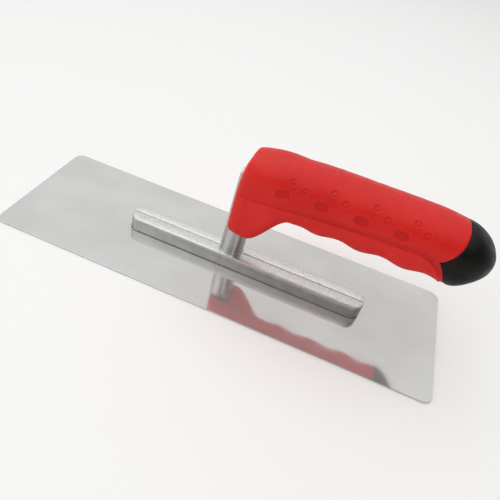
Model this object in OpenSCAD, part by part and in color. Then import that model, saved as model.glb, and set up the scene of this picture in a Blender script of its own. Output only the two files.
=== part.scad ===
// Plastering (finishing) trowel: thin stainless blade, cast mount, moulded two-tone grip.
// Frame: origin under the middle of the blade, +X towards the heel, +Z up, working face on Z = 0.

/* [Blade] */
// Length of the blade, toe to heel
blade_l = 300; // [280:5:330]
// Width of the blade
blade_w = 100; // [80:5:130]
// Thickness of the stainless sheet
blade_t = 0.8; // [0.6:0.1:1.2]
// Radius of the blade's four corners
blade_corner = 6; // [3:0.5:10]

/* [Mount casting] */
// Length of the bar bonded to the blade
bar_l = 170; // [150:5:190]
// Width of the bar
bar_w = 18; // [16:0.5:22]
// Height of the bar
bar_h = 9.8; // [8:0.2:12]
// Distance from the middle of the blade to the middle of the bar, towards the heel
bar_shift = 13; // [0:1:20]
// Thickness of the adhesive film between bar and blade
film_t = 0.4; // [0.3:0.1:0.6]
// Thickness of the rib that runs up the front of the grip
rib_t = 2; // [1.6:0.1:3]
// Width of that rib
rib_w = 9; // [7:0.5:11]
// Height of the rib's rounded top above the working face
rib_top = 76; // [66:1:78]
// Height of the tang inside the grip
tang_h = 12; // [10:0.5:14]
// Width of the tang
tang_w = 8; // [6:0.5:9]
// Lean of the rib, the post and the grip's front towards the heel, in degrees
front_lean = 1.7; // [0:0.1:2.4]

/* [Grip] */
// Height of the grip's middle above the working face
grip_z = 74.6; // [72:0.2:78]
// Height of the grip across the palm
grip_h = 38.6; // [37:0.2:42]
// Width of the grip
grip_w = 41; // [40:0.5:46]
// Height of the leg's foot above the working face
leg_z = 33; // [30:1:36]
// Distance between two finger crests
wave_pitch = 26.2; // [24:0.2:28]
// Half the height of a finger wave
wave_h = 1.2; // [0.6:0.1:1.6]
// Length of the rounded rear end
dome_l = 18.5; // [17:0.5:22]

/* [Fixing] */
// Diameter of the retaining screw
screw_d = 6; // [5:0.5:6]
// Outer diameter of the washer
washer_d = 14; // [12:0.5:15]

/* [Hidden] */
$fn = 64;

bar_z = blade_t + film_t;
bar_top = bar_z + bar_h;
bar_end_r = 6;
bar_draft = 0.4;
parting_w = 0.5;
parting_d = 0.4;

film_margin = 0.5;
root_depth = 1;

post_x = -2.8;
rib_x = post_x - rib_t;
post_l = 10;
post_w = 15;
tail_l = 3.4;
tail_w = 7;
neck_x = post_x + 4.6;
neck_l = 8.4;
neck_w = 12;
tang_end = 108;

grip_x = post_x;
grip_end = blade_l / 2;
grip_l = grip_end - grip_x;
nose_l = 4.2;
nose_z = 65.5;
nose_curve = 2.6;
crown_h = 6.5;
crown_l = 55;
crown_curve = 1.6;
lean_l = 35;
front_share = 0.47;
nose_share = 0.43;
flank_share = 0.10;
flare_l = 9.4;
flank_l = 30;
leg_l = 13.6;
arch_l = 25;
leg_taper = 0.14;
palm_square = 2.4;
leg_square = 2.45;
under_z = grip_z - grip_h / 2 + 0.7;
first_crest = 55.2;
wave_from = 38;
wave_fade = 16;
dome_drop = 5.1;
drop_from = 110;
drop_l = 50;
heel_lift = 5;
lift_from = 127;
lift_l = 28;
nose_rings = 8;
dome_rings = 8;
ring_step = 3.25;
mouth_x = post_x + 3.8;
mouth_l = 10.8;
mouth_w = 17.5;
mouth_h = 18;

core_r = 12.5;
core_x = 20;
sleeve_w = 18;
sleeve_h = grip_z + tang_h / 2 + 1.5 - leg_z - mouth_h;
core_end = 120.5;
core_rear = 4;
shank_reach = 10;
washer_t = 1.5;
head_d = 11;
head_h = 3.6;
screw_l = 24;
cap_pocket_l = 9;
cap_plug_l = 14;

// Smooth step from 0 to 1
function ease(t) = let (c = min(max(t, 0), 1)) c * c * (3 - 2 * c);

// Quarter of a rounded curve that rises from 0 to 1, an ellipse where n is 2
function quarter(t, n = 2) = let (c = min(max(t, 0), 1)) pow(1 - pow(1 - c, n), 1 / n);

// Points on a quadratic curve from a to b that leans towards c
function bow(a, c, b, steps = 10) =
    [for (i = [0:steps]) let (t = i / steps)
        (1 - t) * (1 - t) * a + 2 * t * (1 - t) * c + t * t * b];

// Height of the grip's top line at a distance u behind its front
function top_line(u) =
    let (crown = grip_z + grip_h / 2 - crown_h * pow(max(0, 1 - u / crown_l), crown_curve))
    nose_z + (crown - nose_z) * quarter(u / nose_l, nose_curve) - dome_drop * ease((u - drop_from) / drop_l);

// Height of the grip's underside at a distance u behind its front
function under_line(u) =
    let (wave = wave_h * cos(360 * (u - first_crest) / wave_pitch) * ease((u - wave_from) / wave_fade),
        arch = (under_z - leg_z) * ease((u - leg_l) / arch_l))
    leg_z + arch - wave + heel_lift * ease((u - lift_from) / lift_l);

// Share of the full section left in the rounded rear end
function dome(u) = let (t = max(0, (u - grip_l + dome_l) / dome_l)) sqrt(max(0, 1 - t * t));

// Half width of the grip at its widest level
function half_width(u) =
    grip_w / 2 * (front_share + nose_share * quarter(u / flare_l) + flank_share * ease(u / flank_l));

// Distance by which the front of the grip leans towards the heel at a height z
function lean(u, z) = tan(front_lean) * (z - bar_top) * (1 - ease(u / lean_l));

// One closed ring of points across the grip
function ring(u, sides) =
    let (shrink = dome(u),
        mid = (top_line(u) + under_line(u)) / 2,
        half = (top_line(u) - under_line(u)) / 2 * shrink,
        side = half_width(u) * shrink,
        leg = 1 - ease((u - leg_l) / arch_l),
        power = 2 / (palm_square + leg_square * leg))
    [for (i = [0:sides - 1])
        let (a = 360 * i / sides,
            z = mid + half * sign(sin(a)) * pow(abs(sin(a)), power),
            low = ease((grip_z - z) / (grip_z - leg_z)),
            y = side * sign(cos(a)) * pow(abs(cos(a)), power) * (1 - leg_taper * leg * low))
        [grip_x + u + lean(u, z), y, z]];

// Distances behind the front at which rings stand: close at the nose and in the rounded end
function stations() =
    let (body_end = grip_l - dome_l, body_steps = round((body_end - flare_l) / ring_step))
    concat([for (i = [0:nose_rings - 1]) flare_l * pow(i / nose_rings, 1.8)],
        [for (i = [0:body_steps - 1]) flare_l + (body_end - flare_l) * i / body_steps],
        [for (i = [0:dome_rings]) body_end + dome_l * sin(87 * i / dome_rings)]);

// Whole outer shape of the grip, leg and rounded end together
module grip_form(sides = 36) {
    rows = stations();
    count = len(rows);
    polyhedron(
        points = [for (u = rows) each ring(u, sides)],
        faces = concat(
            [[for (i = [0:sides - 1]) i]],
            [for (r = [0:count - 2], i = [0:sides - 1]) let (j = (i + 1) % sides)
                each [[r * sides + i, (r + 1) * sides + i, (r + 1) * sides + j],
                    [r * sides + i, (r + 1) * sides + j, r * sides + j]]],
            [[for (i = [sides - 1:-1:0]) (count - 1) * sides + i]]),
        convexity = 6);
}

// A slab across the full width from an outline drawn in X and Z
module side_slab(points) {
    translate([0, grip_w, 0])
        rotate([90, 0, 0])
            linear_extrude(2 * grip_w)
                polygon(points);
}

// Region of the softer finger grip, below the seam
module below_seam() {
    seam_front = [grip_x - 1, grip_z - 8];
    seam_turn = [108, grip_z + 1.2];
    seam_foot = [132, leg_z];
    side_slab(concat(
        bow(seam_front, [40, grip_z], seam_turn),
        bow(seam_turn, [128, grip_z + 1], seam_foot),
        [[grip_x - 1, leg_z - 1]]));
}

// Region of the end cap, with its pointed tongue forward on each side
module behind_cap_line() {
    tongue = [119.4, grip_z + 1];
    side_slab(concat(
        bow([134, grip_z + grip_h], [131, grip_z + 8], tongue),
        bow(tongue, [127, grip_z - 4], [133.5, leg_z]),
        [[grip_end + 1, leg_z], [grip_end + 1, grip_z + grip_h]]));
}

module rod_along_x(x, length, diameter) {
    translate([x, 0, grip_z])
        rotate([0, 90, 0])
            cylinder(h = length, d = diameter);
}

module block(x, length, width, z, height) {
    translate([x, -width / 2, z])
        cube([length, width, height]);
}

// Space inside the grip that the core, the tang and the cap's plug fill
module core_space() {
    rod_along_x(core_x, grip_end - dome_l + core_rear - core_x, 2 * core_r);
    block(neck_x, core_x + 1 - neck_x, sleeve_w, leg_z + mouth_h, sleeve_h);
    block(mouth_x, mouth_l, mouth_w, leg_z - 1, mouth_h + 1);
}

module blade() {
    color("gainsboro")
        linear_extrude(blade_t)
            rounded_plan(blade_l, blade_w, blade_corner);
}

module rounded_plan(length, width, corner) {
    square([length - 2 * corner, width], center = true);
    square([length, width - 2 * corner], center = true);
    for (sx = [-1, 1], sy = [-1, 1])
        translate([sx * (length / 2 - corner), sy * (width / 2 - corner)])
            circle(corner);
}

module bond_film() {
    color("dimgray")
        translate([bar_shift, 0, blade_t])
            linear_extrude(film_t)
                rounded_plan(bar_l - 2 * film_margin, bar_w - 2 * film_margin, bar_end_r - film_margin);
}

module mount_bar() {
    translate([bar_shift, 0, bar_z])
        difference() {
            union() {
                linear_extrude(bar_h / 2)
                    rounded_plan(bar_l, bar_w, bar_end_r);
                linear_extrude(bar_h)
                    rounded_plan(bar_l - 2 * bar_draft, bar_w - 2 * bar_draft, bar_end_r - bar_draft);
            }
            translate([-bar_l, -parting_w / 2, bar_h - parting_d])
                cube([2 * bar_l, parting_w, bar_h]);
        }
}

// Tips what it holds towards the heel, about the line where the post's front meets the bar
module leaning() {
    translate([post_x, 0, bar_top])
        rotate([0, front_lean, 0])
            translate([-post_x, 0, -bar_top])
                children();
}

module front_rib() {
    straight = rib_top - rib_w / 2;
    block(rib_x, rib_t, rib_w, bar_top - root_depth, straight - bar_top + root_depth);
    translate([rib_x, 0, straight])
        rotate([0, 90, 0])
            cylinder(h = rib_t, d = rib_w);
}

module post() {
    height = leg_z - 1 - bar_top + root_depth;
    translate([post_x + post_l - post_w / 2, 0, bar_top - root_depth])
        intersection() {
            cylinder(h = height, d = post_w);
            translate([-post_l + post_w / 2 - root_depth, -post_w, 0])
                cube([post_l + root_depth, 2 * post_w, height]);
        }
    block(post_x - rib_t / 2, post_w / 2, rib_w, bar_top - root_depth, height);
    block(post_x + post_l - root_depth, tail_l + root_depth, tail_w, bar_top - root_depth, height);
}

module neck() {
    block(neck_x, neck_l, neck_w, leg_z - 2, grip_z + tang_h / 2 - leg_z + 2);
}

module tang() {
    difference() {
        block(neck_x, tang_end - neck_x, tang_w, grip_z - tang_h / 2, tang_h);
        rod_along_x(tang_end - screw_l + shank_reach, screw_l, screw_d);
    }
}

module mount_casting() {
    color("silver") {
        mount_bar();
        leaning() {
            front_rib();
            post();
        }
        neck();
        tang();
    }
}

module grip_core() {
    color("darkslategray")
        difference() {
            union() {
                rod_along_x(core_x, core_end - core_x, 2 * core_r);
                block(neck_x, core_x + 1 - neck_x, sleeve_w, leg_z + mouth_h, sleeve_h);
            }
            block(neck_x - 1, tang_end - neck_x + 1, tang_w, grip_z - tang_h / 2, tang_h);
            block(neck_x - 1, neck_l + 1, neck_w, leg_z, grip_z + tang_h / 2 - leg_z);
            rod_along_x(tang_end - 1, core_end - tang_end + 2, screw_d);
        }
}

module grip_body() {
    color("crimson")
        difference() {
            grip_form();
            below_seam();
            behind_cap_line();
            core_space();
        }
}

module finger_grip() {
    color("firebrick")
        difference() {
            intersection() {
                grip_form();
                below_seam();
            }
            behind_cap_line();
            core_space();
        }
}

module end_cap() {
    color([0.12, 0.12, 0.11])
        difference() {
            union() {
                intersection() {
                    grip_form();
                    behind_cap_line();
                }
                rod_along_x(core_end, cap_plug_l, 2 * core_r);
            }
            rod_along_x(core_end - 1, cap_pocket_l + 1, washer_d + 2);
        }
}

module retaining_screw() {
    shank_x = tang_end - screw_l + shank_reach;
    color("slategray") {
        rod_along_x(shank_x, core_end + washer_t - shank_x, screw_d);
        rod_along_x(core_end + washer_t, head_h, head_d);
    }
}

module screw_washer() {
    color("lightgray")
        difference() {
            rod_along_x(core_end, washer_t, washer_d);
            rod_along_x(core_end - 1, washer_t + 2, screw_d);
        }
}

blade();
bond_film();
mount_casting();
grip_core();
grip_body();
finger_grip();
end_cap();
retaining_screw();
screw_washer();
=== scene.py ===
"""Looks of a plastering trowel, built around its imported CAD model.

Meshes are worked out in millimetres in the row frame (+X towards the heel, +Z up, working face on Z = 0)
and turned into metres by piece_from().
"""

import math

import bmesh
import bpy
import numpy as np
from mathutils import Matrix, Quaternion, Vector


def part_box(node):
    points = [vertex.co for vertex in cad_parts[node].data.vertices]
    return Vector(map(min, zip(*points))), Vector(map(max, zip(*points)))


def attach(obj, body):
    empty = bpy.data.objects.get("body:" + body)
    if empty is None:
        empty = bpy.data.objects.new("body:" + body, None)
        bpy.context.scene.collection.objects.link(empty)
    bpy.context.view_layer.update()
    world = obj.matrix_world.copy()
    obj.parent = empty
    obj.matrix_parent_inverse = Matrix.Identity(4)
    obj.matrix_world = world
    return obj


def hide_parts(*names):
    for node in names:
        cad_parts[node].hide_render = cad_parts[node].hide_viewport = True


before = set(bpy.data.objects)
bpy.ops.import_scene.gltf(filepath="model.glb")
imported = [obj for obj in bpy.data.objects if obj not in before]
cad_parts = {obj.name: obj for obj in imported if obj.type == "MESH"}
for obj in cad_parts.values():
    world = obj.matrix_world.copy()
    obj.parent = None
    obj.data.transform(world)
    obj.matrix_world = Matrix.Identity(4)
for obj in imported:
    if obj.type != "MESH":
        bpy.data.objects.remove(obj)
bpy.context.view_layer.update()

MM = 0.001


def node_box(name):
    """Lowest and highest corner of a CAD node, in millimetres."""
    low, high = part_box(name)
    return low / MM, high / MM


blade_high = node_box("blade")[1]
film_high = node_box("bond_film")[1]
cap_high = node_box("end_cap")[1]
casting_low, casting_high = node_box("mount_casting")
finger_low, finger_high = node_box("finger_grip")

# ---------------------------------------------------------------- camera

AIM = Vector((-3.7, -0.5, 30.0)) * MM
CAMERA_AZIMUTH = math.radians(12.23)
CAMERA_ELEVATION = math.radians(38.55)
CAMERA_DISTANCE = 0.3407
CAMERA_ROLL = math.radians(13.95)
CAMERA_LENS = 36.84
CAMERA_SHIFT = (0.045, -0.051)
NEAREST_SEEN = 0.01


def add_camera():
    """Camera on a sphere round the point that it looks at."""
    back = Vector((
        math.sin(CAMERA_AZIMUTH) * math.cos(CAMERA_ELEVATION),
        -math.cos(CAMERA_AZIMUTH) * math.cos(CAMERA_ELEVATION),
        math.sin(CAMERA_ELEVATION)))
    data = bpy.data.cameras.new("camera")
    data.lens = CAMERA_LENS
    data.shift_x, data.shift_y = CAMERA_SHIFT
    data.clip_start = NEAREST_SEEN
    camera = bpy.data.objects.new("camera", data)
    bpy.context.scene.collection.objects.link(camera)
    camera.location = AIM + back * CAMERA_DISTANCE
    camera.rotation_mode = "QUATERNION"
    camera.rotation_quaternion = (-back).to_track_quat("-Z", "Y") @ Quaternion((0, 0, 1), CAMERA_ROLL)
    bpy.context.scene.camera = camera


# ---------------------------------------------------------------- mesh helpers

SMOOTH_ANGLE = 35
SAME_POINT = 1e-6
NO_LENGTH = 1e-7


def shade(mesh, smooth_angle):
    """Smooth shading, with edges sharper than smooth_angle (degrees) kept crisp."""
    mesh.shade_smooth()
    mesh.set_sharp_from_angle(angle=math.radians(smooth_angle))


def piece_from(name, points, faces, smooth_angle=SMOOTH_ANGLE, attributes=None):
    """Mesh object from points in millimetres, with a value for each point under each attribute's name."""
    mesh = bpy.data.meshes.new(name)
    metres = np.asarray(points, float) * MM
    mesh.from_pydata([tuple(p) for p in metres], [], [tuple(map(int, f)) for f in faces])
    for label, values in (attributes or {}).items():
        layer = mesh.attributes.new(label, "FLOAT", "POINT")
        layer.data.foreach_set("value", np.asarray(values, np.float32))
    tidy = bmesh.new()
    tidy.from_mesh(mesh)
    bmesh.ops.remove_doubles(tidy, verts=tidy.verts, dist=SAME_POINT)
    bmesh.ops.dissolve_degenerate(tidy, edges=tidy.edges, dist=NO_LENGTH)
    bmesh.ops.recalc_face_normals(tidy, faces=tidy.faces)
    tidy.to_mesh(mesh)
    tidy.free()
    shade(mesh, smooth_angle)
    piece = bpy.data.objects.new(name, mesh)
    bpy.context.scene.collection.objects.link(piece)
    return piece


def apply_modifiers(piece):
    """Bakes the modifiers of a piece into its mesh."""
    graph = bpy.context.evaluated_depsgraph_get()
    piece.data = bpy.data.meshes.new_from_object(piece.evaluated_get(graph))
    piece.modifiers.clear()
    return piece


def join_solids(name, solids):
    """One solid from several that overlap."""
    whole = solids[0]
    for other in solids[1:]:
        union = whole.modifiers.new("union", "BOOLEAN")
        union.operation = "UNION"
        union.solver = "EXACT"
        union.object = other
        apply_modifiers(whole)
        bpy.data.objects.remove(other)
    whole.name = name
    shade(whole.data, SMOOTH_ANGLE)
    return whole


def finish_piece(piece, node, material):
    """Gives a piece its material, hangs it under the root body and hides the CAD node that it stands for."""
    piece.data.materials.clear()
    piece.data.materials.append(material)
    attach(piece, "root")
    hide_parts(node)
    return piece


def loft_faces(rows, columns):
    """Faces between closed rings of points that follow each other, with both ends closed."""
    faces = [
        (r * columns + i, r * columns + (i + 1) % columns,
         (r + 1) * columns + (i + 1) % columns, (r + 1) * columns + i)
        for r in range(rows - 1) for i in range(columns)]
    faces.append(tuple(range(columns)))
    faces.append(tuple((rows - 1) * columns + i for i in reversed(range(columns))))
    return faces


# ---------------------------------------------------------------- grip form

# Driving values of the grip's form: lengths in u run back from the grip's front at grip_x
bar_top = 11.0
grip_x = -2.8
grip_l = cap_high.x - grip_x
leg_z = finger_low.z
grip_w = finger_high.y - finger_low.y
grip_z = 74.6
grip_h = 38.6
nose_l = 4.2
nose_z = 65.5
nose_curve = 2.6
crown_h = 6.5
crown_l = 55.0
crown_curve = 1.6
front_share = 0.47
nose_share = 0.43
flank_share = 0.10
flare_l = 9.4
flank_l = 30.0
front_lean = math.radians(1.7)
lean_l = 35.0
leg_l = 13.6
arch_l = 25.0
leg_taper = 0.14
palm_square = 2.4
leg_square = 2.45
under_rise = 0.7
under_z = grip_z - grip_h / 2 + under_rise
wave_pitch = 26.2
wave_h = 1.2
first_crest = 55.2
wave_from = 38.0
wave_fade = 16.0
dome_l = 18.5
dome_drop = 5.1
drop_from = 110.0
drop_l = 50.0
heel_lift = 5.0
lift_from = 127.0
lift_l = 28.0


def ease(t):
    """Smooth step from 0 to 1."""
    c = np.clip(t, 0, 1)
    return c * c * (3 - 2 * c)


def quarter(t, n=2.0):
    """Quarter of a rounded curve that rises from 0 to 1, an ellipse where n is 2."""
    c = np.clip(t, 0, 1)
    return (1 - (1 - c) ** n) ** (1 / n)


def top_line(u):
    """Height of the grip's top at a distance u behind its front."""
    crown = grip_z + grip_h / 2 - crown_h * np.clip(1 - u / crown_l, 0, 1) ** crown_curve
    nose = nose_z + (crown - nose_z) * quarter(u / nose_l, nose_curve)
    return nose - dome_drop * ease((u - drop_from) / drop_l)


def under_line(u):
    """Height of the grip's underside: the leg, the arch behind it and the waves for the fingers."""
    wave = wave_h * np.cos(2 * math.pi * (u - first_crest) / wave_pitch) * ease((u - wave_from) / wave_fade)
    arch = (under_z - leg_z) * ease((u - leg_l) / arch_l)
    return leg_z + arch - wave + heel_lift * ease((u - lift_from) / lift_l)


def dome(u):
    """Share of the full section that is left near the rounded rear end."""
    t = np.maximum(0, (u - grip_l + dome_l) / dome_l)
    return np.sqrt(np.maximum(0, 1 - t * t))


def half_width(u):
    """Half the grip's width, full from the palm backwards."""
    return grip_w / 2 * (front_share + nose_share * quarter(u / flare_l) + flank_share * ease(u / flank_l))


def lean(u, z):
    """How far the front of the grip leans towards the heel at a height z."""
    return math.tan(front_lean) * (z - bar_top) * (1 - ease(u / lean_l))


def grip_point(u, turn):
    """Points of the grip's plain form: u behind its front, turn round its section from +Y upwards."""
    top = top_line(u)
    under = under_line(u)
    shrink = dome(u)
    leg = 1 - ease((u - leg_l) / arch_l)
    square = palm_square + leg_square * leg
    across = np.cos(turn)
    upright = np.sin(turn)
    reach = (np.abs(across) ** square + np.abs(upright) ** square) ** (-1 / square)
    z = (top + under) / 2 + (top - under) / 2 * shrink * reach * upright
    low = ease((grip_z - z) / (grip_z - leg_z))
    y = half_width(u) * shrink * reach * across * (1 - leg_taper * leg * low)
    return np.stack([grip_x + u + lean(u, z), y, z], -1)


def grip_normal(u, turn):
    """Outward directions at the same points, from two short steps along the surface."""
    step_u = 0.02
    step_turn = 0.004
    least = 1e-12
    step = np.where(u > grip_l / 2, -step_u, step_u)
    along = (grip_point(u + step, turn) - grip_point(u, turn)) * np.sign(step)[:, None]
    around = grip_point(u, turn + step_turn) - grip_point(u, turn - step_turn)
    normal = np.cross(around, along)
    return normal / np.maximum(np.linalg.norm(normal, axis=1), least)[:, None]


def bow(start, pull, end, steps=40):
    """Points on a quadratic curve from start to end that is drawn towards pull."""
    t = np.linspace(0, 1, steps + 1)[:, None]
    return (1 - t) ** 2 * np.array(start) + 2 * t * (1 - t) * np.array(pull) + t ** 2 * np.array(end)


# Side views (x, z) of what lies below the seam and of what lies behind the cap line
FAR = 80.0
seam_front = (grip_x - 1, grip_z - 8)
seam_turn = (108, grip_z + 1.2)
seam_foot = (132, leg_z)
seam_outline = np.vstack([
    [(-FAR, seam_front[1] - 8)],
    bow(seam_front, (40, grip_z), seam_turn),
    bow(seam_turn, (128, grip_z + 1), seam_foot),
    [(seam_foot[0], -FAR), (-FAR, -FAR)]])
cap_crown = (134, grip_z + grip_h)
cap_tongue = (119.4, grip_z + 1)
cap_foot = (133.5, leg_z)
cap_outline = np.vstack([
    [(cap_crown[0], grip_z + FAR)],
    bow(cap_crown, (131, grip_z + 8), cap_tongue),
    bow(cap_tongue, (127, grip_z - 4), cap_foot),
    [(cap_foot[0], -FAR), (grip_l + FAR, -FAR), (grip_l + FAR, grip_z + FAR)]])


def side_distance(points, outline):
    """Distance in the side view from an outline, negative inside it."""
    p = points[:, [0, 2]]
    nearest = np.full(len(p), np.inf)
    inside = np.zeros(len(p), bool)
    for a, b in zip(outline, np.roll(outline, -1, axis=0)):
        edge = b - a
        length = edge @ edge
        if length == 0:
            continue
        t = np.clip((p - a) @ edge / length, 0, 1)
        nearest = np.minimum(nearest, np.linalg.norm(p - a - t[:, None] * edge, axis=1))
        if a[1] != b[1]:
            spans = (a[1] > p[:, 1]) != (b[1] > p[:, 1])
            crossing = a[0] + (p[:, 1] - a[1]) / (b[1] - a[1]) * edge[0]
            inside ^= spans & (p[:, 0] < crossing)
    return np.where(inside, -nearest, nearest)


# Opening in the foot of the leg that the neck of the casting passes through
mouth_x = 1.0
mouth_l = 10.8
mouth_w = 17.5
mouth_r = 2.0
mouth_h = 18.0
mouth_reach = 12.0
mouth_fall = 4.0


def mouth_distance(points):
    """Distance from the edge of the rectangular opening in the leg's foot, negative inside it.

    Above mouth_reach it grows with the height, so that the opening stays in the foot.
    """
    half = np.array([mouth_l / 2 - mouth_r, mouth_w / 2 - mouth_r])
    away = np.abs(points[:, :2] - [mouth_x + mouth_l / 2, 0]) - half
    outside = np.linalg.norm(np.maximum(away, 0), axis=1)
    inside = np.minimum(away.max(axis=1), 0)
    high = np.maximum(points[:, 2] - leg_z - mouth_reach, 0)
    return outside + inside - mouth_r + mouth_fall * high


def bell(distance, width):
    """1 at no distance, falling smoothly to 0 over a few widths."""
    return np.exp(-(distance / width) ** 2)


TURN_SAMPLES = 400
AHEAD = 0.5


def turn_at_height(u, z):
    """Turn on the +Y side at which the grip's surface has the height z."""
    turns = np.linspace(0, math.pi / 2, TURN_SAMPLES)
    heights = grip_point(np.full(len(turns), u), turns)[:, 2]
    return float(np.interp(z, heights, turns))


def local_axes(u, turn):
    """A point of the surface with the directions along and across the grip there."""
    here, ahead = grip_point(np.array([u, u + AHEAD]), np.array([turn, turn]))
    along = (ahead - here) / np.linalg.norm(ahead - here)
    normal = grip_normal(np.array([u]), np.array([turn]))[0]
    return here, along, np.cross(normal, along)


# Places of the recesses in the side view, in x and z
palm_marks = [(27.2, 80.8), (50.3, 82.2), (73.4, 82.6), (95.8, 83.0)]
upper_dots = [(30.7, 88.2), (54.5, 89.8), (78.8, 90.2), (101.6, 90.2)]
lower_dots = [(38.8, 86.0), (62.2, 87.3), (86.2, 87.2), (108.4, 86.7)]
mark_l = 9.0
mark_w = 5.4
mark_d = 0.50
mark_slope = 0.8
mark_floor = 0.55
dot_r = 1.55
dot_d = 0.32
dot_groove_w = 0.5
lip_h = 0.12
mark_lip_gap = 0.75
mark_lip_w = 0.45
dot_lip_gap = 1.0
dot_lip_w = 0.5

# Relief along the seam: a fine groove, a bead below it and a valley above it that deepens towards the heel
seam_d = 0.36
seam_w = 0.34
seam_fade = 6.0
bead_h = 0.28
bead_w = 0.7
bead_gap = 0.9
valley_d = 0.45
valley_w = 1.7
valley_gap = 1.6
valley_from = 10.0
valley_fade = 60.0
cap_groove_d = 0.42
cap_groove_w = 0.30
# Depth of relief at which a recess takes its full painted shade
full_shade_depth = 0.5
seam_band = 0.5
cap_band = 0.4


def mark_relief(points, x, z):
    """Obround recess with a faint raised lip."""
    here, along, across = local_axes(x - grip_x, turn_at_height(x - grip_x, z))
    offset = points - here
    a = np.maximum(np.abs(offset @ along) - (mark_l - mark_w) / 2, 0)
    b = offset @ across
    edge = np.hypot(a, b) - mark_w / 2
    edge = np.where(np.linalg.norm(offset, axis=1) < 2 * mark_l, edge, FAR)
    lip = lip_h * bell(edge - mark_lip_gap, mark_lip_w)
    return lip - mark_d * (1 - ease((edge + mark_floor) / mark_slope))


def dot_relief(points, x, z):
    """Small ring groove round a button, with a faint raised lip."""
    here, _, _ = local_axes(x - grip_x, turn_at_height(x - grip_x, z))
    edge = np.linalg.norm(points - here, axis=1) - dot_r
    return lip_h * bell(edge - dot_lip_gap, dot_lip_w) - dot_d * bell(edge, dot_groove_w)


def grip_relief(points):
    """Height of the moulded detail above the plain form."""
    seam = side_distance(points, seam_outline)
    cap = side_distance(points, cap_outline)
    valley = valley_d * ease((points[:, 0] - valley_from) / valley_fade)
    relief = bead_h * bell(seam + bead_gap, bead_w) - seam_d * bell(seam, seam_w)
    relief -= valley * bell(seam - valley_gap, valley_w) * (seam > 0)
    relief *= ease((points[:, 0] - grip_x) / seam_fade)
    relief -= cap_groove_d * bell(cap, cap_groove_w)
    folded = points.copy()
    folded[:, 1] = np.abs(folded[:, 1])
    for x, z in palm_marks:
        relief += mark_relief(folded, x, z)
    for x, z in upper_dots + lower_dots:
        relief += dot_relief(folded, x, z)
    return relief


def cut_along(params, faces, field):
    """Splits the triangles that the zero line of a field crosses, so that mesh edges run along it."""
    values = field(grip_point(params[:, 0], params[:, 1]))
    positive = values > 0
    share = positive[faces].sum(axis=1)
    crossed = (share == 1) | (share == 2)
    added = []
    middles = {}

    def middle(a, b):
        key = (min(a, b), max(a, b))
        if key not in middles:
            t = values[a] / (values[a] - values[b])
            added.append(params[a] * (1 - t) + params[b] * t)
            middles[key] = len(params) + len(added) - 1
        return middles[key]

    pieces = []
    for face in faces[crossed]:
        lone = int(np.argmax(positive[face] != (positive[face].sum() > 1)))
        a, b, c = np.roll(face, -lone)
        ab = middle(a, b)
        ac = middle(a, c)
        pieces += [(a, ab, ac), (ab, b, c), (ab, c, ac)]
    return np.vstack([params, added]), np.vstack([faces[~crossed], pieces])


def spread(low, high, count, closeness):
    """Values from low to high that stand closer where closeness is greater."""
    fine = np.linspace(low, high, 2000)
    total = np.cumsum(closeness(fine))
    total = (total - total[0]) / (total[-1] - total[0])
    return np.interp(np.linspace(0, 1, count), total, fine)


nose_rings = 30
palm_rings = 230
dome_rings = 40
dome_reach = math.radians(88.6)
ring_points = 221
mark_turn = 0.75
mark_turn_w = 0.5


def grip_grid():
    """Distances and turns of a dense grid over the grip, closer on the flanks that hold the moulded marks."""
    body_end = grip_l - dome_l
    nose = flare_l * (1 - np.cos(np.linspace(0, math.pi / 2, nose_rings)))
    palm = np.linspace(flare_l, body_end, palm_rings)[1:]
    rear = body_end + dome_l * np.sin(np.linspace(0, dome_reach, dome_rings))[1:]
    along = np.concatenate([nose, palm, rear])

    def closeness(turn):
        return 1 + 0.9 * (bell(turn - mark_turn, mark_turn_w) + bell(turn - math.pi + mark_turn, mark_turn_w))

    return along, spread(-math.pi / 2, 1.5 * math.pi, ring_points, closeness)


def grip_skin(along, around):
    """The grid as plain points, raised points, shares of painted shade from the depth of recess, and faces,
    cut along the pieces' edges.
    """
    rows = len(along)
    columns = len(around)
    params = np.array([(u, a) for u in along for a in around])
    corner = (np.arange(rows - 1)[:, None] * columns + np.arange(columns - 1)).ravel()
    faces = np.vstack([
        np.stack([corner, corner + 1, corner + columns + 1], -1),
        np.stack([corner, corner + columns + 1, corner + columns], -1)])
    for level in (-seam_band, 0.0, seam_band):
        params, faces = cut_along(params, faces, lambda p: side_distance(p, seam_outline) - level)
    for level in (-cap_band, 0.0, cap_band):
        params, faces = cut_along(params, faces, lambda p: side_distance(p, cap_outline) - level)
    params, faces = cut_along(params, faces, mouth_distance)
    plain = grip_point(params[:, 0], params[:, 1])
    relief = grip_relief(plain)
    raised = plain + grip_normal(params[:, 0], params[:, 1]) * relief[:, None]
    # The third value is the share of painted shade, growing with the depth of each recess.
    return plain, raised, np.clip(-relief / full_shade_depth, 0, 1), faces


wall_t = 2.4
wall_smooth_angle = 50


def grip_piece(name, node, material, points, depth, faces, extra=()):
    """A moulded shell of even wall thickness, from its outer faces and the extra ones that are no triangles.

    Its "recess" attribute holds the share of painted shade at each point, from how deep it lies in a recess.
    """
    used = np.unique(np.concatenate([faces.ravel(), *[np.array(f) for f in extra]]).astype(int))
    index = np.full(len(points), -1)
    index[used] = np.arange(len(used))
    all_faces = [tuple(index[f]) for f in faces] + [tuple(index[list(f)]) for f in extra]
    piece = piece_from(name, points[used], all_faces, wall_smooth_angle, {"recess": depth[used]})
    wall = piece.modifiers.new("wall", "SOLIDIFY")
    wall.thickness = wall_t * MM
    wall.offset = -1
    apply_modifiers(piece)
    shade(piece.data, wall_smooth_angle)
    finish_piece(piece, node, material)


rim_reach = 0.2
rim_step = 0.001


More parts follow.
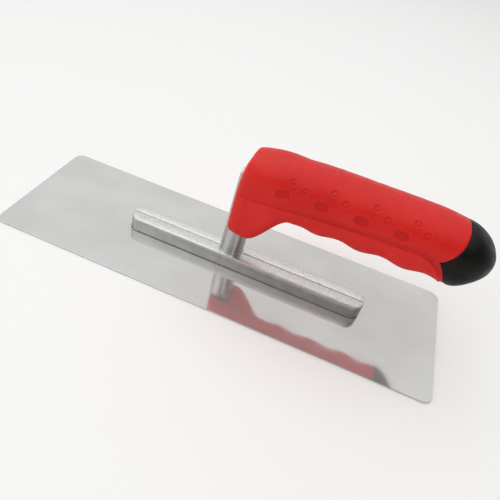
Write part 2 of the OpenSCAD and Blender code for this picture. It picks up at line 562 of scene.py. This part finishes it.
def mouth_walls(points, faces):
    """Walls of the opening in the leg's foot, from its rim straight up, closed at the top."""
    sides = np.sort(np.vstack([faces[:, [0, 1]], faces[:, [1, 2]], faces[:, [2, 0]]]), axis=1)
    edges, uses = np.unique(sides, axis=0, return_counts=True)
    rim = np.unique(edges[uses == 1])
    rim = rim[np.abs(mouth_distance(points[rim])) < rim_reach]
    turn = np.arctan2(points[rim, 1], points[rim, 0] - mouth_x - mouth_l / 2)
    rim = rim[np.argsort(turn)]
    step = np.linalg.norm(points[rim] - points[np.roll(rim, 1)], axis=1)
    loop = rim[step > rim_step]
    roof = points[loop].copy()
    roof[:, 2] = leg_z + mouth_h
    first = len(points)
    count = len(loop)
    walls = [(loop[(i + 1) % count], loop[i], first + i, first + (i + 1) % count) for i in range(count)]
    walls.append(tuple(first + i for i in range(count)))
    return np.vstack([points, roof]), walls


def add_grip():
    """The three mouldings of the grip, parted along the seam and the cap line."""
    along, around = grip_grid()
    plain, points, depth, faces = grip_skin(along, around)
    columns = len(around)
    centre = plain[faces].mean(axis=1)
    in_cap = side_distance(centre, cap_outline) < 0
    below = side_distance(centre, seam_outline) < 0
    in_mouth = mouth_distance(centre) < 0
    front = tuple(range(columns - 1))
    last_ring = (len(along) - 1) * columns
    rear = tuple(reversed(range(last_ring, last_ring + columns - 1)))
    finger_faces = faces[below & ~in_cap & ~in_mouth]
    finger_points, walls = mouth_walls(points, finger_faces)
    # The walls and roof of the mouth take the full painted shade.
    finger_shade_depth = np.append(depth, np.ones(len(finger_points) - len(points)))
    grip_piece("grip_shell", "grip_body", red_plastic(),
               points, depth, faces[~below & ~in_cap])
    grip_piece("finger_sleeve", "finger_grip", red_rubber(),
               finger_points, finger_shade_depth, finger_faces, [front] + walls)
    grip_piece("heel_cap", "end_cap", black_rubber(), points, depth, faces[in_cap], [rear])


# ---------------------------------------------------------------- mount casting

bar_bottom = film_high.z
bar_x0 = casting_low.x
film_margin = 0.5
bar_x1 = film_high.x + film_margin
bar_half = 9.0
bar_nose = 6.0
bar_tip = 0.10
bar_curve = 1.8
tip_rings = 14
middle_rings = 58
parting_w = 0.5
parting_d = 0.45


def bar_reach(x):
    """Half width of the bar: full along its length, drawn to a blunt tip at each end."""
    left = np.minimum(x - bar_x0, bar_x1 - x)
    t = np.clip(left / bar_nose, 0, 1)
    return bar_half * (bar_tip + (1 - bar_tip) * quarter(t, bar_curve))


def bar_ring(x):
    """Section across the bar: drafted sides, a chamfer and the parting groove along the top."""
    half = float(bar_reach(x))
    groove = min(parting_w / 2, 0.08 * half)
    inset = min(1, half / 5)
    right = [(half - 0.25 * inset, bar_bottom), (half, bar_bottom + 0.3), (half, bar_bottom + 4.9),
             (half - 0.25 * inset, bar_top - 0.9), (half - 0.45 * inset, bar_top - 0.45),
             (half - 0.85 * inset, bar_top - 0.08), (half - 1.25 * inset, bar_top),
             (groove * 2.2, bar_top), (groove * 1.4, bar_top - 0.06), (groove * 0.5, bar_top - parting_d)]
    left = [(-y, z) for y, z in reversed(right)]
    return [(x, y, z) for y, z in right + left]


def leaned(points):
    """The points tipped towards the heel with the front of the grip."""
    return [(x + math.tan(front_lean) * (z - bar_top), y, z) for x, y, z in points]


def bar_solid():
    """The mounting bar, its rings closer together at the blunt tips."""
    ends = bar_nose * (1 - np.cos(np.linspace(0, math.pi / 2, tip_rings)))
    middle = np.linspace(bar_x0 + bar_nose, bar_x1 - bar_nose, middle_rings + 2)[1:-1]
    stations = np.concatenate([bar_x0 + ends, middle, (bar_x1 - ends)[::-1]])
    rings = [bar_ring(x) for x in stations]
    points = [p for ring in rings for p in ring]
    return piece_from("bar", points, loft_faces(len(rings), len(rings[0])))


root_d = 0.6
rib_t = 2.0
rib_w = 9.0
rib_top = 76.0
rib_bevel = 0.5
rib_arc_points = 25
post_x = grip_x
rib_x = post_x - rib_t
post_l = 10.0
post_half = 7.5
tail_l = 3.2
tail_half = 3.5
post_top = leg_z - 0.4
foot_r = 0.8
foot_rings = 6


def post_outline():
    """Plan of the post: flat front, full sides, a narrow tail behind, with a fin on each shoulder."""
    side = [(post_x, 5.6), (post_x + 0.8, 6.3), (post_x + 2.4, 7.0), (post_x + 4.4, post_half),
            (post_x + 6.4, 7.4), (post_x + 7.8, 6.9), (post_x + 8.6, 7.0), (post_x + 9.0, 7.5),
            (post_x + post_l - 0.2, 7.4), (post_x + post_l, 6.5), (post_x + post_l, tail_half + 1.6),
            (post_x + post_l + 1.4, tail_half), (post_x + post_l + tail_l, tail_half - 0.2)]
    return side + [(x, -y) for x, y in reversed(side)]


def outset(outline, amount):
    """The outline moved outwards by an amount, corner by corner."""
    p = np.array(outline)
    edge = np.roll(p, -1, axis=0) - np.roll(p, 1, axis=0)
    normal = np.stack([edge[:, 1], -edge[:, 0]], -1)
    normal /= np.linalg.norm(normal, axis=1)[:, None]
    outward = np.sign(((p - p.mean(axis=0)) * normal).sum())
    return p + normal * outward * amount


def post_solid():
    """Post with a fillet at its foot where it meets the bar."""
    outline = post_outline()
    rings = [[(x, y, bar_top - root_d) for x, y in outset(outline, foot_r)]]
    for angle in np.linspace(0, math.pi / 2, foot_rings):
        flare = foot_r * (1 - math.sin(angle))
        rings.append([(x, y, bar_top + foot_r * (1 - math.cos(angle))) for x, y in outset(outline, flare)])
    rings.append([(x, y, post_top) for x, y in outline])
    points = leaned(p for ring in rings for p in ring)
    return piece_from("post", points, loft_faces(len(rings), len(outline)))


def rib_solid():
    """Flat rib that runs up the front of the grip to a rounded top, its edges broken by a bevel."""
    radius = rib_w / 2
    arc = [(radius * math.cos(a), rib_top - radius + radius * math.sin(a))
           for a in np.linspace(0, math.pi, rib_arc_points)]
    outline = arc + [(-radius, bar_top - root_d), (radius, bar_top - root_d)]
    bevel = rib_bevel
    corner = 0.3 * bevel
    levels = [(0, bevel), (corner, corner), (bevel, 0),
              (rib_t - bevel, 0), (rib_t - corner, corner), (rib_t, bevel)]
    rings = []
    for depth, inset in levels:
        shrink = (radius - inset) / radius
        rings.append([(rib_x + depth, y * shrink, z - inset if z > rib_top - radius else z)
                      for y, z in outline])
    points = leaned(p for ring in rings for p in ring)
    return piece_from("rib", points, loft_faces(len(rings), len(outline)))


# Parts of the casting inside the grip
neck_x = 1.8
neck_l = 8.4
neck_w = 12.0
tang_x = 3.0
tang_w = 8.0
tang_h = 12.0
tang_gap = 0.5
neck_root = 0.7
block_edge = 0.6


def block_solid(name, x0, x1, width, z0, z1):
    """Closed box with its edges broken, centred across the tool."""
    points = [(x, y, z) for x in (x0, x1) for y in (-width / 2, width / 2) for z in (z0, z1)]
    faces = [(0, 1, 3, 2), (4, 6, 7, 5), (0, 4, 5, 1), (2, 3, 7, 6), (0, 2, 6, 4), (1, 5, 7, 3)]
    piece = piece_from(name, points, faces)
    bevel = piece.modifiers.new("bevel", "BEVEL")
    bevel.width = block_edge * MM
    bevel.segments = 2
    return apply_modifiers(piece)


def add_casting():
    """One casting of bar, post and rib, with the neck and the tang that the grip hides."""
    tang_z = grip_z - tang_h / 2
    tang_top = grip_z + tang_h / 2
    neck = block_solid("neck", neck_x, neck_x + neck_l, neck_w, post_top - neck_root, tang_top)
    tang = block_solid("tang", tang_x, casting_high.x - tang_gap, tang_w, tang_z, tang_top)
    casting = join_solids("mount", [bar_solid(), post_solid(), rib_solid(), neck, tang])
    finish_piece(casting, "mount_casting", cast_aluminium())


# ---------------------------------------------------------------- blade

blade_corner = 6.0
blade_edge = 0.15
blade_smooth_angle = 25
corner_points = 13


def add_blade():
    """Flat sheet with rounded corners and a broken edge."""
    half_l = blade_high.x
    half_w = blade_high.y
    outline = []
    for quadrant, (sx, sy) in enumerate([(1, 1), (-1, 1), (-1, -1), (1, -1)]):
        for angle in np.linspace(0, math.pi / 2, corner_points) + quadrant * math.pi / 2:
            outline.append((sx * (half_l - blade_corner) + blade_corner * math.cos(angle),
                            sy * (half_w - blade_corner) + blade_corner * math.sin(angle)))
    levels = [(0, blade_edge), (blade_edge, 0), (blade_high.z - blade_edge, 0), (blade_high.z, blade_edge)]
    rings = [[(x * (1 - inset / half_l), y * (1 - inset / half_w), z) for x, y in outline]
             for z, inset in levels]
    points = [p for ring in rings for p in ring]
    sheet = piece_from("blade_sheet", points, loft_faces(len(rings), len(outline)), blade_smooth_angle)
    finish_piece(sheet, "blade", stainless())


# ---------------------------------------------------------------- materials

def smooth_map(tree, value, start, end, low, high):
    """Maps a value from start..end to low..high, smoothly, with a node of a node tree."""
    node = tree.nodes.new("ShaderNodeMapRange")
    node.interpolation_type = "SMOOTHSTEP"
    for name, number in (("From Min", start), ("From Max", end), ("To Min", low), ("To Max", high)):
        node.inputs[name].default_value = number
    tree.links.new(value, node.inputs["Value"])
    return node.outputs["Result"]


class Surface:
    """A material with one Principled shader, built up step by step."""

    def __init__(self, name, colour, metallic=0.0, roughness=0.5):
        self.material = bpy.data.materials.new(name)
        self.material.use_nodes = True
        self.nodes = self.material.node_tree.nodes
        self.links = self.material.node_tree.links
        self.shader = self.nodes["Principled BSDF"]
        self.shader.inputs["Base Color"].default_value = (*colour, 1)
        self.shader.inputs["Metallic"].default_value = metallic
        self.shader.inputs["Roughness"].default_value = roughness
        self.place = self.nodes.new("ShaderNodeTexCoord").outputs["Object"]

    def stretched(self, scale):
        """Object coordinates scaled by three factors, for grain that runs one way."""
        mapping = self.nodes.new("ShaderNodeMapping")
        mapping.inputs["Scale"].default_value = scale
        self.links.new(self.place, mapping.inputs["Vector"])
        return mapping.outputs["Vector"]

    def noise(self, scale, detail=3.0, vector=None, rough=0.5):
        """Noise from 0 to 1. The scale is in cycles per metre."""
        node = self.nodes.new("ShaderNodeTexNoise")
        node.inputs["Scale"].default_value = scale
        node.inputs["Detail"].default_value = detail
        node.inputs["Roughness"].default_value = rough
        self.links.new(vector or self.place, node.inputs["Vector"])
        return node.outputs["Fac"]

    def ramp(self, value, low, high, start=0.35, end=0.65):
        """Goes from low to high as the value goes from start to end."""
        return smooth_map(self.material.node_tree, value, start, end, low, high)

    def blend(self, share, first, second):
        """Colour between two colours by a share from 0 to 1.

        Each colour is three numbers or another node's output.
        """
        node = self.nodes.new("ShaderNodeMix")
        node.data_type = "RGBA"
        colours = [socket for socket in node.inputs if socket.type == "RGBA"]
        for socket, colour in zip(colours, (first, second)):
            if isinstance(colour, tuple):
                socket.default_value = (*colour, 1)
            else:
                self.links.new(colour, socket)
        self.links.new(share, node.inputs[0])
        return [socket for socket in node.outputs if socket.type == "RGBA"][0]

    def facing_up(self):
        """Upward share of the surface's own direction, 1 where it is level."""
        split = self.nodes.new("ShaderNodeSeparateXYZ")
        self.links.new(self.nodes.new("ShaderNodeNewGeometry").outputs["True Normal"], split.inputs[0])
        return split.outputs["Z"]

    def drive(self, socket, value):
        """Lets a node's output set one of the shader's inputs."""
        self.links.new(value, self.shader.inputs[socket])

    def bump(self, height, distance, strength=1.0):
        """Adds a bump layer on top of those that are there.

        The strength is a number or another node's output.
        """
        node = self.nodes.new("ShaderNodeBump")
        if isinstance(strength, float):
            node.inputs["Strength"].default_value = strength
        else:
            self.links.new(strength, node.inputs["Strength"])
        node.inputs["Distance"].default_value = distance
        self.links.new(height, node.inputs["Height"])
        normal = self.shader.inputs["Normal"]
        if normal.is_linked:
            self.links.new(normal.links[0].from_socket, node.inputs["Normal"])
        self.links.new(node.outputs["Normal"], normal)


def moulded(name, light, dark, painted_shade_colour, roughness, grain, gloss):
    """Moulded plastic or rubber: cloudy colour, darkened by painted shade in its recesses, with a fine matt
    grain.
    """
    s = Surface(name, light, roughness=sum(roughness) / 2)
    cloud = s.blend(s.ramp(s.noise(40, 4), 0, 1), dark, light)
    # Painted shade: the colour goes over to the painted shade colour as the recess attribute grows, standing
    # in for the shade in grooves, marks and the mouth.
    recess = s.nodes.new("ShaderNodeAttribute")
    recess.attribute_name = "recess"
    s.drive("Base Color", s.blend(recess.outputs["Fac"], cloud, painted_shade_colour))
    s.drive("Roughness", s.ramp(s.noise(240, 5), *roughness))
    s.bump(s.noise(grain, 2), 0.00003, 0.5)
    s.shader.inputs["Specular IOR Level"].default_value = gloss
    return s.material


def red_plastic():
    """The hard upper moulding of the grip."""
    # The third colour is the painted shade of the recesses.
    return moulded("red_plastic", (0.68, 0.016, 0.012), (0.63, 0.013, 0.010), (0.55, 0.010, 0.008),
                   (0.36, 0.48), 3200, 0.20)


def red_rubber():
    """The softer moulding under the fingers."""
    # The third colour is the painted shade of the recesses.
    return moulded("red_rubber", (0.74, 0.024, 0.019), (0.68, 0.020, 0.016), (0.46, 0.010, 0.008),
                   (0.50, 0.64), 4200, 0.18)


def black_rubber():
    """The soft cap on the rear end."""
    # The third colour is the painted shade of the recesses.
    return moulded("black_rubber", (0.0065, 0.0056, 0.0042), (0.0045, 0.0039, 0.0030), (0.002, 0.002, 0.002),
                   (0.38, 0.50), 3800, 0.16)


def cast_aluminium():
    """Smooth cast metal, speckled where it faces up, with painted light making those up-facing faces lighter.
    """
    s = Surface("cast_aluminium", (0.62, 0.62, 0.61), metallic=0.9, roughness=0.35)
    skin = s.blend(s.ramp(s.noise(160, 4), 0, 1), (0.51, 0.51, 0.50), (0.57, 0.57, 0.56))
    speckle_and_top_light = s.blend(s.ramp(s.noise(620, 5, rough=0.7), 0, 1), (0.55, 0.55, 0.54), (0.71, 0.71, 0.70))
    # Painted light: faces that point up take a lighter, speckled colour, as if lit from above; the speckle
    # itself stands for the cast grain.
    top = s.ramp(s.facing_up(), 0, 1, 0.5, 0.95)
    s.drive("Base Color", s.blend(top, skin, speckle_and_top_light))
    s.drive("Roughness", s.ramp(s.noise(300, 5), 0.32, 0.42))
    s.bump(s.noise(600, 5, s.stretched((0.35, 1, 1)), 0.6), 0.00004, top)
    s.bump(s.noise(260, 4, s.stretched((0.35, 1, 1))), 0.00003, 0.5)
    return s.material


def stainless():
    """Polished sheet with soft smears and fine brushing along the blade."""
    s = Surface("stainless", (0.62, 0.62, 0.61), metallic=0.66, roughness=0.08)
    smears = s.noise(18, 5, s.stretched((1, 1.6, 1)))
    s.drive("Base Color", s.blend(s.ramp(smears, 0, 1), (0.63, 0.63, 0.615), (0.68, 0.68, 0.67)))
    s.drive("Roughness", s.ramp(s.noise(60, 6, s.stretched((1, 3, 1)), 0.7), 0.055, 0.12))
    s.bump(s.noise(900, 3, s.stretched((0.03, 1, 1))), 0.000002, 0.5)
    return s.material


def adhesive():
    """Dark film between the blade and the bar."""
    s = Surface("adhesive", (0.05, 0.048, 0.045), roughness=0.6)
    s.drive("Base Color", s.blend(s.ramp(s.noise(500, 4), 0, 1), (0.03, 0.029, 0.027), (0.09, 0.087, 0.08)))
    s.bump(s.noise(700, 4), 0.0001, 0.6)
    return s.material


def core_plastic():
    """Plain dark plastic inside the grip."""
    s = Surface("core_plastic", (0.05, 0.055, 0.06), roughness=0.5)
    s.drive("Roughness", s.ramp(s.noise(300, 4), 0.4, 0.6))
    s.bump(s.noise(1500, 3), 0.00004, 0.5)
    return s.material


def screw_steel():
    """Bare steel of the screw and its washer."""
    s = Surface("screw_steel", (0.55, 0.56, 0.58), metallic=1.0, roughness=0.3)
    s.drive("Roughness", s.ramp(s.noise(500, 4), 0.22, 0.42))
    s.bump(s.noise(1200, 3), 0.00003, 0.5)
    return s.material


def dress_cad_node(name, material):
    """Gives a carried-over CAD node its material."""
    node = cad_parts[name]
    node.data.materials.clear()
    node.data.materials.append(material)


# ---------------------------------------------------------------- stage

FLOOR_RADIUS = 9000.0
FLOOR_CORNERS = 96
FLOOR_Z = -0.3


def add_floor():
    """A round pale floor, just under the blade."""
    turns = np.linspace(0, 2 * math.pi, FLOOR_CORNERS + 1)[:-1]
    points = [(FLOOR_RADIUS * math.cos(a), FLOOR_RADIUS * math.sin(a), FLOOR_Z) for a in turns]
    floor = piece_from("floor", points, [tuple(range(len(points)))])
    s = Surface("floor_paint", (0.97, 0.97, 0.96), roughness=0.9)
    s.drive("Roughness", s.ramp(s.noise(40, 3), 0.85, 0.95))
    floor.data.materials.append(s.material)


BRIGHT_SIDE = Vector((-0.60, 0.30, 0.74))
CEILING_FADE = (0.16, 0.56)
WALL_FADE = (0.15, 0.46)
ROOM_DARK = 0.08
ROOM_BRIGHT = 0.90
WALL_BRIGHT = 0.82


def add_area(name, place, aim, size, power):
    """Square soft light at a place, turned towards what it lights."""
    data = bpy.data.lights.new(name, "AREA")
    data.shape = "SQUARE"
    data.size = size
    data.energy = power
    lamp = bpy.data.objects.new(name, data)
    bpy.context.scene.collection.objects.link(lamp)
    lamp.location = place
    lamp.rotation_mode = "QUATERNION"
    lamp.rotation_quaternion = (Vector(aim) - Vector(place)).to_track_quat("-Z", "Y")


def add_light():
    """A bright ceiling on one side, a darker one on the camera's side and pale walls all round."""
    world = bpy.data.worlds.new("studio")
    bpy.context.scene.world = world
    world.use_nodes = True
    tree = world.node_tree
    direction = tree.nodes.new("ShaderNodeTexCoord").outputs["Generated"]
    towards = tree.nodes.new("ShaderNodeVectorMath")
    towards.operation = "DOT_PRODUCT"
    towards.inputs[1].default_value = BRIGHT_SIDE.normalized()
    tree.links.new(direction, towards.inputs[0])
    split = tree.nodes.new("ShaderNodeSeparateXYZ")
    tree.links.new(direction, split.inputs[0])
    ceiling = smooth_map(tree, towards.outputs["Value"], *CEILING_FADE, ROOM_DARK, ROOM_BRIGHT)
    walls = smooth_map(tree, split.outputs["Z"], *WALL_FADE, WALL_BRIGHT, 0)
    brightest = tree.nodes.new("ShaderNodeMath")
    brightest.operation = "MAXIMUM"
    tree.links.new(ceiling, brightest.inputs[0])
    tree.links.new(walls, brightest.inputs[1])
    background = tree.nodes["Background"]
    background.inputs["Color"].default_value = (1, 1, 1, 1)
    tree.links.new(brightest.outputs["Value"], background.inputs["Strength"])
    add_area("softbox_top", (0.0, 0.15, 1.3), (0, 0, 0), 1.6, 6.2)
    add_area("softbox_left", (-0.60, -0.76, 0.72), (0, 0, 0.04), 0.85, 1.5)
    bpy.context.scene.view_settings.view_transform = "Standard"


add_camera()
add_floor()
add_light()
add_blade()
add_casting()
add_grip()
dress_cad_node("bond_film", adhesive())
dress_cad_node("grip_core", core_plastic())
screw_finish = screw_steel()
dress_cad_node("retaining_screw", screw_finish)
dress_cad_node("screw_washer", screw_finish)
